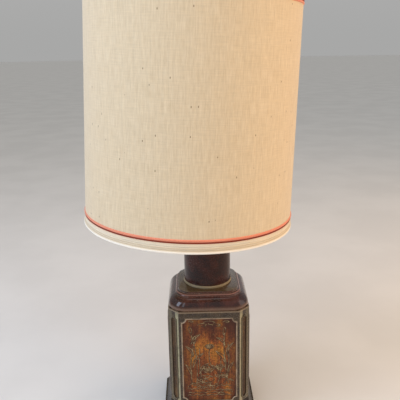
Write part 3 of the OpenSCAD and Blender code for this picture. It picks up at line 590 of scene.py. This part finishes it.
rings = [(pillow_foot, GROOVE_HALF), (pillow_foot, SHOULDER_HALF)]
run = SHOULDER_HALF - PILLOW_TOP_HALF
pillow_r = (run * run + PILLOW_RISE * PILLOW_RISE) / (2 * run)
for i in range(1, PILLOW_STEPS + 1):
    z = PILLOW_RISE * i / PILLOW_STEPS
    rings.append((pillow_foot + z, SHOULDER_HALF - pillow_r + sqrt(pillow_r * pillow_r - z * z)))
for i in range(ROUND_STEPS + 1):
    a = pi / 2 * i / ROUND_STEPS
    rings.append((round_foot + ROUND_R * sin(a), ROUND_HALF + ROUND_R * cos(a)))
rings += [(round_foot + ROUND_R, PLATFORM_HALF), (shoulder_high.z, PLATFORM_HALF)]

canted_plate(GROOVE_HALF, SHOULDER_CANT, MITRE_R, shoulder_low.z)
level, half = shoulder_low.z, GROOVE_HALF
for z, wide in rings:
    bpy.ops.mesh.extrude_region_move(TRANSFORM_OT_translate={"value": (0, 0, z - level)})
    bpy.ops.transform.resize(value=(wide / half, wide / half, 1), center_override=(0, 0, 0))
    level, half = z, wide
bpy.ops.mesh.select_all(action="SELECT")
bpy.ops.mesh.normals_make_consistent(inside=False)
bpy.ops.object.mode_set(mode="OBJECT")
shoulder = take("soft_shoulder", shoulder_lacquer)
wear("BEVEL", width=0.5 * MM, segments=2, limit_method="ANGLE", angle_limit=radians(35))
bpy.ops.object.shade_smooth_by_angle(angle=radians(40))
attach(shoulder, "base")
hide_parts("shoulder")

# NECK
# A brass tube with a rolled ring at its foot and a stepped cap, in the same dark lacquer. The
# ring is painted pale olive: partly where its lacquer has worn off, partly a painted highlight.

RING_H = 5.6 * MM  # height of the pale ring, worn and painted as a highlight, and how far up it has its full strength
RING_FULL = 4.8 * MM

# Dark neck lacquer: red brown, nearly black in the shade's shadow, with a soft upright gleam
neck_lacquer, tree, surface, place, skin = lacquer(
    "dark_neck_lacquer", "#240B06", "#3D190F", "#7F6A55", 0.35, Specular_IOR_Level=0.3,
)
foot_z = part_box("neck")[0].z
up = put(tree, "SeparateXYZ", [place]).outputs["Z"]
reach, full = foot_z + RING_H, foot_z + RING_FULL
ring_wear_and_highlight = put(tree, "MapRange", [up, reach, full, 0, 1], interpolation_type="SMOOTHSTEP")
skin = put(tree, "Mix", [ring_wear_and_highlight, skin, hue("#9A8D72")], data_type="RGBA")
# Fine turning lines run round the tube, drawn 2 mm apart so that they show
lines = stretched(tree, place, (4, 4, 500), 1, 2)
tone = put(tree, "MapRange", [lines, 0.3, 0.7, 0.84, 1.14], interpolation_type="SMOOTHSTEP")
feed(surface, "Base Color", put(tree, "Mix", [1, skin, tone], data_type="RGBA", blend_type="MULTIPLY"))
dress(neck_lacquer, "neck", "neck_cap")

# RISER, HARP AND SOCKET
# Spun and drawn brass, polished and clear lacquered: the riser column, the saddle and wire of
# the harp with its two ferrules, the stud, the socket's cap and shell, its key and the finial.

# Drawn brass, polished and clear lacquered: warm and glossy, duller in patches of about 14 mm
brass = grained("polished_brass", 70, ("#A67C34", "#D9B468"), (0.16, 0.34), 0.03 * MM, Metallic=1)
dress(brass, "riser", "harp_saddle", "harp_wire", "ferrule_left", "ferrule_right", "harp_stud")
dress(brass, "socket_cap", "socket_shell", "switch_key", "finial")

# Pressed card: tan and matt, with fibres of about 2 mm
card = grained("pressed_card", 500, ("#9C7C52", "#BFA174"), (0.85, 0.95), 0.2 * MM)
dress(card, "socket_liner")

# Phenolic moulding: brown black with a dull gloss and flow marks of about 11 mm
phenolic = grained("phenolic_moulding", 90, ("#1C120D", "#38241A"), (0.32, 0.48), 0.05 * MM)
dress(phenolic, "switch_body")

# Rolled brass of the contacts: bare and paler, stained by heat in spots of about 4 mm
contact = grained("contact_brass", 240, ("#B08C4A", "#DDBE7A"), (0.28, 0.42), 0.03 * MM, Metallic=1)
dress(contact, "screw_shell", "centre_contact")

# BULB
# A blown glass bulb, frosted inside by a fine acid etch, cemented to a rolled screw cap of
# aluminium. It screws into the socket and turns with no other part.

# Frosted glass: white and half clear, with a soft shine; its etch of 0.1 mm is drawn 1.7 mm coarse
glass = grained("frosted_glass", 600, ("#EDEBE6", "#FBFAF7"), (0.4, 0.5), 0.02 * MM, Transmission_Weight=0.55)
dress(glass, "bulb_glass")

# Rolled aluminium: pale and satin, with rolling marks of about 3 mm
aluminium = grained("rolled_aluminium", 350, ("#B9BBBD", "#DADBDC"), (0.26, 0.4), 0.04 * MM, Metallic=1)
dress(aluminium, "bulb_cap")

# SHADE LINER AND WIRES
# A sheet of white styrene bent to a drum, with a steel wire ring inside each rim and the
# spider's three arms welded to the upper one. The wires are dipped in white enamel.

# Calendered styrene: smooth, off white and satin, yellowed a little in areas of about 30 mm
styrene = grained("white_styrene", 30, ("#EEE9DE", "#F3F0E8"), (0.48, 0.54), 0.01 * MM)
dress(styrene, "shade_liner")

# Dipped enamel on wire: glossy white, thicker where drops of about 16 mm ran
enamel = grained("enamelled_wire", 60, ("#DDDAD2", "#EFEDE7"), (0.22, 0.36), 0.2 * MM)
dress(enamel, "ring_bottom", "ring_top", "spider")

# SHADE FABRIC
# Cream silk and linen cloth with slubs, laminated to the liner and lapped at the back. Fine
# upright threads, uneven in tone, with scattered short brown slubs.

swivel = next(joint for joint in frame["joints"] if joint["name"] == "shade_swivel")
AXIS = Vector(swivel["axis"]).normalized()
PIVOT = Vector(swivel["pos_m"])
SHADE_H = 432 * MM
SHADE_R0 = 203 * MM  # at the lower rim
SHADE_R1 = 196.5 * MM  # at the upper rim
CLOTH = 0.8 * MM
CLOTH_ROWS = 12  # of faces, from rim to rim
SPOKES = 288  # faces round the shade
WRAP_R = 200 * MM  # radius by which turns round the shade become lengths of cloth
LAP = 6 * MM  # from the middle of the back to each edge of the cloth's lap
# The lower rim's plane, found on the liner that the cloth is glued to
RIM = min((v.co - PIVOT).dot(AXIS) for v in frame["nodes"]["shade_liner"].data.vertices)
TILT = Vector((0, 0, 1)).rotation_difference(AXIS).to_matrix().to_4x4()
ON_SHADE = Matrix.Translation(PIVOT + AXIS * RIM) @ TILT


def radius_at(z):
    """Outer radius of the cloth at a height of the shade."""
    return SHADE_R0 + (SHADE_R1 - SHADE_R0) * z / SHADE_H


def pick(piece, kind, wanted):
    """Goes to edit mode with only the wanted vertices, edges or faces selected."""
    if piece.mode == "EDIT":
        bpy.ops.object.mode_set(mode="OBJECT")
    mesh = piece.data
    for group in (mesh.vertices, mesh.edges, mesh.polygons):
        for item in group:
            item.select = False
    for item in {"VERT": mesh.vertices, "EDGE": mesh.edges, "FACE": mesh.polygons}[kind]:
        item.select = wanted(mesh, item)
    # The kind is set first, because edit mode would else also take edges between picked points
    bpy.context.tool_settings.mesh_select_mode = [kind == each for each in ("VERT", "EDGE", "FACE")]
    bpy.ops.object.mode_set(mode="EDIT")
    bpy.ops.mesh.select_mode(type=kind)


def upright(mesh, edge):
    """Whether an edge runs up the shade."""
    a, b = (mesh.vertices[v].co for v in edge.vertices)
    return abs(a.z - b.z) > 0.01 * MM


def hoop(z0, z1, out, rows):
    """Adds an open hoop round the shade, set out from the cloth, with rows of faces, in edit mode."""
    bpy.ops.object.select_all(action="DESELECT")
    bpy.ops.mesh.primitive_cone_add(
        vertices=SPOKES, radius1=radius_at(z0) + out, radius2=radius_at(z1) + out, depth=z1 - z0,
        end_fill_type="NOTHING", location=(0, 0, (z0 + z1) / 2), rotation=(0, 0, pi / 2),
    )
    bpy.ops.object.transform_apply(location=True, rotation=True, scale=True)
    pick(bpy.context.object, "EDGE", upright)
    bpy.ops.mesh.subdivide(number_cuts=rows - 1)


def push_rows(piece, low, high, grow):
    """Moves the rows between two heights outward or inward by a share of their radius."""
    pick(piece, "VERT", lambda mesh, v: low < v.co.z < high)
    bpy.ops.transform.resize(value=(grow, grow, 1), center_override=(0, 0, 0))


def unroll(piece):
    """Writes a UV map in metres: round the shade from the back seam, and up it."""
    mesh = piece.data
    layer = mesh.uv_layers.active or mesh.uv_layers.new(name="UVMap")
    for face in mesh.polygons:
        corners = [mesh.vertices[mesh.loops[loop].vertex_index].co for loop in face.loop_indices]
        turns = [atan2(co.x, -co.y) for co in corners]
        if max(turns) - min(turns) > pi:
            turns = [t + 2 * pi if t < 0 else t for t in turns]
        for loop, t, co in zip(face.loop_indices, turns, corners):
            layer.data[loop].uv = (t * WRAP_R, co.z)


def set_on_shade(piece):
    """Tilts a finished piece on to the shade's axis and keeps its object at the origin."""
    only(piece)
    piece.data.transform(ON_SHADE)
    piece.data.update()


# Slubby linen: warm cream and matt, soft at grazing angles, streaked upright by uneven threads
linen, tree, surface = begin_finish(
    "slubby_linen", Roughness=0.85, Sheen_Weight=0.25, Sheen_Roughness=0.5,
)
wrap = put(tree, "UVMap", uv_map="UVMap")
# Threads lie 0.4 mm apart on the cloth and are drawn about 2 mm apart, so that they show
threads = stretched(tree, wrap, (480, 40, 1), 1, 3, 0.7)
picks = stretched(tree, wrap, (35, 520, 1), 1, 2)
# Batches of thread differ in tone every 4 mm or so
drift = stretched(tree, wrap, (260, 14, 1), 1, 4)
tone = put(tree, "Mix", [threads, hue("#C6AE85"), hue("#EEE0C4")], data_type="RGBA")
crossing = put(tree, "MapRange", [picks, 0.3, 0.7, 0.95, 1.03])
batches = put(tree, "MapRange", [drift, 0.3, 0.7, 0.95, 1.03])
weave = put(tree, "Math", [crossing, batches], operation="MULTIPLY")
tone = put(tree, "Mix", [1, tone, weave], data_type="RGBA", blend_type="MULTIPLY")
# Slubs: dark lumps up to 3.5 mm long, in about a tenth of cells that are 11 by 24 mm
cells = put(tree, "Mapping", {"Vector": wrap, "Scale": (90, 42, 1)})
slubs = put(tree, "TexVoronoi", {"Vector": cells, "Scale": 1, "Randomness": 1}, voronoi_dimensions="2D")
chance = put(tree, "SeparateColor", [slubs.outputs["Color"]]).outputs["Red"]
size = put(tree, "MapRange", [chance, 0.9, 0.96, 0, 0.075], interpolation_type="SMOOTHSTEP")
lump = put(tree, "Math", [slubs, size], operation="LESS_THAN")
lump = put(tree, "Math", [lump, 0.8], operation="MULTIPLY")
tone = put(tree, "Mix", [lump, tone, hue("#7E6040")], data_type="RGBA")
# The cloth is darker along both edges of its lap, in lines about 2 mm wide
turned = put(tree, "SeparateXYZ", [wrap]).outputs["X"]
turned = put(tree, "Math", [turned], operation="ABSOLUTE")
aside = put(tree, "Math", [pi * WRAP_R, turned], operation="SUBTRACT")
aside = put(tree, "Math", [aside], operation="ABSOLUTE")
off = put(tree, "Math", [aside, LAP], operation="SUBTRACT")
off = put(tree, "Math", [off], operation="ABSOLUTE")
lap_lines = put(tree, "MapRange", [off, 0.4 * MM, 1.4 * MM, 0.55, 0], interpolation_type="SMOOTHSTEP")
feed(surface, "Base Color", put(tree, "Mix", [lap_lines, tone, hue("#A2855C")], data_type="RGBA"))
relief = put(tree, "Math", [threads, picks], operation="ADD")
feed(surface, "Normal", put(tree, "Bump", {"Height": relief, "Strength": 0.4, "Distance": 0.3 * MM}))

hoop(0, SHADE_H, 0, CLOTH_ROWS)
bpy.ops.object.mode_set(mode="OBJECT")
cloth = take("shade_cloth", linen)
wear("SOLIDIFY", thickness=CLOTH, offset=-1)
unroll(cloth)
set_on_shade(cloth)
bpy.ops.object.shade_smooth_by_angle(angle=radians(40))
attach(cloth, "shade")
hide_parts("shade_fabric")

# BACK SEAM
# The cloth's end is turned under and glued down over its beginning, at the back between the
# two pipings: a narrow raised lap with rounded edges.

SEAM_T = 0.6 * MM
SEAM_OFF = 0.05 * MM  # from the cloth's face to the lap's underside
SEAM_ROWS = 10
TRIM = 24 * MM  # from each rim to the seam's end, under the piping
SEAM_REACH = 8 * MM  # faces of the hoop with their middle so near to the middle of the back stay
SEAM_FACES = 4  # how many these are, side by side, before they are drawn in to the lap's width

hoop(TRIM, SHADE_H - TRIM, SEAM_OFF, SEAM_ROWS)
bpy.ops.object.mode_set(mode="OBJECT")
seam = take("cloth_seam", linen)
pick(seam, "FACE", lambda mesh, face: not (abs(face.center.x) < SEAM_REACH and face.center.y > 0))
bpy.ops.mesh.delete(type="FACE")
bpy.ops.mesh.select_all(action="SELECT")
narrow = 2 * LAP / (SEAM_FACES * 2 * pi * SHADE_R0 / SPOKES)
bpy.ops.transform.resize(value=(narrow, 1, 1), center_override=(0, 0, 0))
bpy.ops.object.mode_set(mode="OBJECT")
wear("SOLIDIFY", thickness=SEAM_T, offset=1)
wear("BEVEL", width=0.2 * MM, segments=2, limit_method="ANGLE", angle_limit=radians(50))
unroll(seam)
set_on_shade(seam)
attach(seam, "shade")
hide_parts("shade_seam")

# CREAM BANDS
# Folded bias tape at both rims, glued over the cloth's edge: two stitched folds show as faint
# grooves with painted shade in them, and the rolled hem along the rim is the lightest line of the
# shade, painted as a highlight.

BAND_H = 18 * MM
BAND_ROWS = 18  # of faces, each 1 mm high
TAPE_OUT = 1.3 * MM  # how far the tape's face stands off the cloth
TAPE = 0.5 * MM
FOLDS = (5.5 * MM, 9.5 * MM)  # from the rim to each fold's line of painted shade
# Rows in millimetres from the rim: the hem is rolled outward, then two narrow folds lie inward
HEM_AND_FOLDS = ((0.5, 3.5, 1.005), (5.5, 7.5, 0.9955), (10.5, 12.5, 0.9955))

# Cream bias tape: lighter and smoother than the cloth, with a fine slanting rib and a little soil
tape, tree, surface = begin_finish("cream_bias_tape", Roughness=0.8, Sheen_Weight=0.2)
wrap = put(tree, "UVMap", uv_map="UVMap")
# Ribs lie 0.5 mm apart on the tape and are drawn 1.4 mm apart; soil gathers over 40 by 17 mm
ribs = stretched(tree, wrap, (700, 700, 1), 1, 2, turn=45)
soil = stretched(tree, wrap, (25, 60, 1), 1, 4)
tone = put(tree, "Mix", [ribs, hue("#DCCDAF"), hue("#F2E8D4")], data_type="RGBA")
aged = put(tree, "MapRange", [soil, 0.3, 0.7, 0.92, 1.03])
tone = put(tree, "Mix", [1, tone, aged], data_type="RGBA", blend_type="MULTIPLY")
# Distance from the nearer rim: the folds get lines of painted shade, and the hem a painted highlight
up = put(tree, "SeparateXYZ", [wrap]).outputs["Y"]
down = put(tree, "Math", [SHADE_H, up], operation="SUBTRACT")
rim = put(tree, "Math", [up, down], operation="MINIMUM")
for fold in FOLDS:
    off = put(tree, "Math", [rim, fold], operation="SUBTRACT")
    off = put(tree, "Math", [off], operation="ABSOLUTE")
    fold_shade = put(tree, "MapRange", [off, 0.3 * MM, 1.3 * MM, 0.6, 0], interpolation_type="SMOOTHSTEP")
    tone = put(tree, "Mix", [fold_shade, tone, hue("#B79E78")], data_type="RGBA")
# The hem is painted near white, as a highlight on the rolled edge
hem_highlight = put(tree, "MapRange", [rim, 2.8 * MM, 3.6 * MM, 0.8, 0], interpolation_type="SMOOTHSTEP")
tone = put(tree, "Mix", [hem_highlight, tone, hue("#FFFAF0")], data_type="RGBA")
# The band's inner edge, beside the piping, is painted pinkish: light bounced off the coral cord
coral_bounce = put(tree, "MapRange", [rim, 14 * MM, BAND_H, 0, 0.5], interpolation_type="SMOOTHSTEP")
feed(surface, "Base Color", put(tree, "Mix", [coral_bounce, tone, hue("#D9B794")], data_type="RGBA"))
feed(surface, "Normal", put(tree, "Bump", {"Height": ribs, "Strength": 0.3, "Distance": 0.3 * MM}))

for name, foot, sign in (("band_bottom", 0, 1), ("band_top", SHADE_H, -1)):
    low, high = sorted((foot, foot + sign * BAND_H))
    hoop(low, high, TAPE_OUT, BAND_ROWS)
    bpy.ops.object.mode_set(mode="OBJECT")
    band = take("tape_" + name, tape)
    for start, stop, grow in HEM_AND_FOLDS:
        rows = sorted((foot + sign * start * MM, foot + sign * stop * MM))
        push_rows(band, rows[0], rows[1], grow)
    bpy.ops.object.mode_set(mode="OBJECT")
    wear("SOLIDIFY", thickness=TAPE, offset=-1)
    unroll(band)
    set_on_shade(band)
    bpy.ops.object.shade_smooth_by_angle(angle=radians(50))
    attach(band, "shade")
    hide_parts(name)

# CORAL PIPING
# Cotton cord covered in coral cloth and glued along each band, with its brick red seam
# allowance showing as a thin dark welt on the band's side, which also stands in as painted shade
# under the cord.

PIPING_R = 2.5 * MM
PIPING_OFF = 4.7 * MM  # from the band's inner edge to the piping's middle
WELT_R = 1.7 * MM
WELT_OFF = 1.2 * MM
SINK = 0.3  # share of a cord's radius by which its middle lies in the cloth
INSET = 0.3 * MM  # from the cloth's face in to a cord's flat back

# Coral cotton: salmon pink and matt with a soft bloom; its twill of 0.7 mm is drawn 2 mm coarse
coral, tree, surface = begin_finish("coral_piping_cotton", Roughness=0.75, Sheen_Weight=0.25)
wrap = put(tree, "UVMap", uv_map="UVMap")
twill = stretched(tree, wrap, (500, 500, 1), 1, 2, turn=50)
tone = put(tree, "Mix", [twill, hue("#CC6A4B"), hue("#F29E7E")], data_type="RGBA")
feed(surface, "Base Color", tone)
feed(surface, "Normal", put(tree, "Bump", {"Height": twill, "Strength": 0.3, "Distance": 0.3 * MM}))

# Brick red cotton: the same cloth's dull underside, darker than all round it, so it reads as a line.
# Its darkness is also painted shade under the coral cord.
brick_and_shade, tree, surface = begin_finish("brick_red_welt_and_shade", Roughness=0.85)
wrap = put(tree, "UVMap", uv_map="UVMap")
twill = stretched(tree, wrap, (500, 500, 1), 1, 2)
tone = put(tree, "Mix", [twill, hue("#6E1F0E"), hue("#963A1D")], data_type="RGBA")
feed(surface, "Base Color", tone)


def half_cord(name, z, r, finish):
    """Cord of radius r glued round the cloth at height z, flat behind."""
    bpy.ops.object.select_all(action="DESELECT")
    bpy.ops.mesh.primitive_torus_add(
        major_radius=radius_at(z) - SINK * r, minor_radius=r, major_segments=SPOKES, minor_segments=20,
        location=(0, 0, z),
    )
    bpy.ops.object.transform_apply(location=True, rotation=True, scale=True)
    piece = take(name, finish)
    pick(piece, "VERT", lambda mesh, v: sqrt(v.co.x ** 2 + v.co.y ** 2) < radius_at(v.co.z) - INSET)
    bpy.ops.mesh.delete(type="VERT")
    bpy.ops.mesh.select_all(action="DESELECT")
    bpy.ops.mesh.select_mode(type="EDGE")
    bpy.ops.mesh.select_non_manifold()
    bpy.ops.mesh.bridge_edge_loops()
    bpy.ops.mesh.select_all(action="SELECT")
    bpy.ops.mesh.normals_make_consistent(inside=False)
    bpy.ops.object.mode_set(mode="OBJECT")
    unroll(piece)
    set_on_shade(piece)
    bpy.ops.object.shade_smooth_by_angle(angle=radians(50))
    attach(piece, "shade")
    return piece


for name, foot, sign in (("piping_bottom", 0, 1), ("piping_top", SHADE_H, -1)):
    cord = half_cord("coral_" + name, foot + sign * (BAND_H + PIPING_OFF), PIPING_R, coral)
    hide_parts(name)
    half_cord("welt_" + name, foot + sign * (BAND_H + WELT_OFF), WELT_R, brick_and_shade)

# FLOOR, LIGHT AND CAMERA
# A plain pale floor and soft studio light: two tall windows of light from the left in front, a
# wide soft one overhead, a warm one from the right and a dim card beside it.

FLOOR_R = 60  # metres, so that its edge lies at the horizon
FLOOR_GAP = 0.2 * MM
SKY_STRENGTH = 0.62

# Rolled floor paint: pale and matt, clouded over a third of a metre
floor_paint = grained("pale_floor_paint", 3, ("#D9D8D5", "#DFDEDB"), (0.85, 0.95), 0.1 * MM)
bpy.ops.object.select_all(action="DESELECT")
bpy.ops.mesh.primitive_circle_add(vertices=96, radius=FLOOR_R, fill_type="NGON", location=(0, 0, -FLOOR_GAP))
bpy.ops.object.transform_apply(location=True, rotation=True, scale=True)
take("floor", floor_paint)

world = bpy.data.worlds.new("studio")
world.use_nodes = True
sky = world.node_tree
rise = put(sky, "SeparateXYZ", [put(sky, "TexCoord").outputs["Generated"]]).outputs["Z"]
haze = put(sky, "MapRange", [rise, 0, 0.35, 0, 1], interpolation_type="SMOOTHSTEP")
dome = put(sky, "Mix", [haze, hue("#D0D0CF"), hue("#E8E7E6")], data_type="RGBA")
feed(sky.nodes["Background"], "Color", dome)
feed(sky.nodes["Background"], "Strength", SKY_STRENGTH)
bpy.context.scene.world = world
bpy.context.scene.view_settings.view_transform = "Standard"


def softbox(name, spot, aim, wide, tall, power, colour):
    """Rectangular area light that faces a point: metres, watts and the colour of its light."""
    lamp = bpy.data.lights.new(name, "AREA")
    lamp.shape = "RECTANGLE"
    lamp.size, lamp.size_y = wide, tall
    lamp.energy = power
    lamp.color = hue(colour)[:3]
    light = bpy.data.objects.new(name, lamp)
    bpy.context.scene.collection.objects.link(light)
    light.location = spot
    light.rotation_euler = (Vector(aim) - Vector(spot)).to_track_quat("-Z", "Y").to_euler()
    return light


softbox("window_left_pane", (-1.65, -0.72, 1.7), (0, 0, 0.45), 0.9, 2.3, 28, "#DAE6FF")
softbox("window_right_pane", (-0.75, -1.6, 1.75), (0, 0, 0.45), 0.5, 2.2, 6.5, "#E9F0FF")
softbox("overhead", (0.2, -0.9, 2.6), (0, 0, 0.5), 1.8, 1.2, 13, "#FFF6EA")
# The warm light hangs well clear of the floor, so that its light ends softly there. It is flagged
# off the lacquer, which would show it as a bright patch
warm = softbox("warm_side", (2.1, -0.5, 1.35), (0, 0, 0.6), 2.4, 1.5, 35, "#FFC98A")
warm.visible_glossy = False
# A dim card on the right is seen only as the soft upright band on the neck
card_light = softbox("right_card", (2.0, -0.35, 0.9), (0, 0, 0.4), 0.9, 1.6, 4.5, "#F2E4DC")
card_light.visible_diffuse = False

# The camera stands close and a little above the neck, and looks down at the lamp
CAMERA_SPOT = (-0.0267, -1.0135, 0.763)
CAMERA_PAN = -0.014  # radians, as the next two are
CAMERA_TILT = -0.2765  # from level
CAMERA_ROLL = -0.0185
camera_lens = bpy.data.cameras.new("camera")
camera_lens.lens = 47.25
camera_lens.sensor_width = 36
camera_lens.clip_start = 0.05
camera = bpy.data.objects.new("camera", camera_lens)
bpy.context.scene.collection.objects.link(camera)
camera.matrix_world = (
    Matrix.Translation(CAMERA_SPOT)
    @ Matrix.Rotation(CAMERA_PAN, 4, "Z")
    @ Matrix.Rotation(pi / 2 + CAMERA_TILT, 4, "X")
    @ Matrix.Rotation(CAMERA_ROLL, 4, "Z")
)
bpy.context.scene.camera = camera
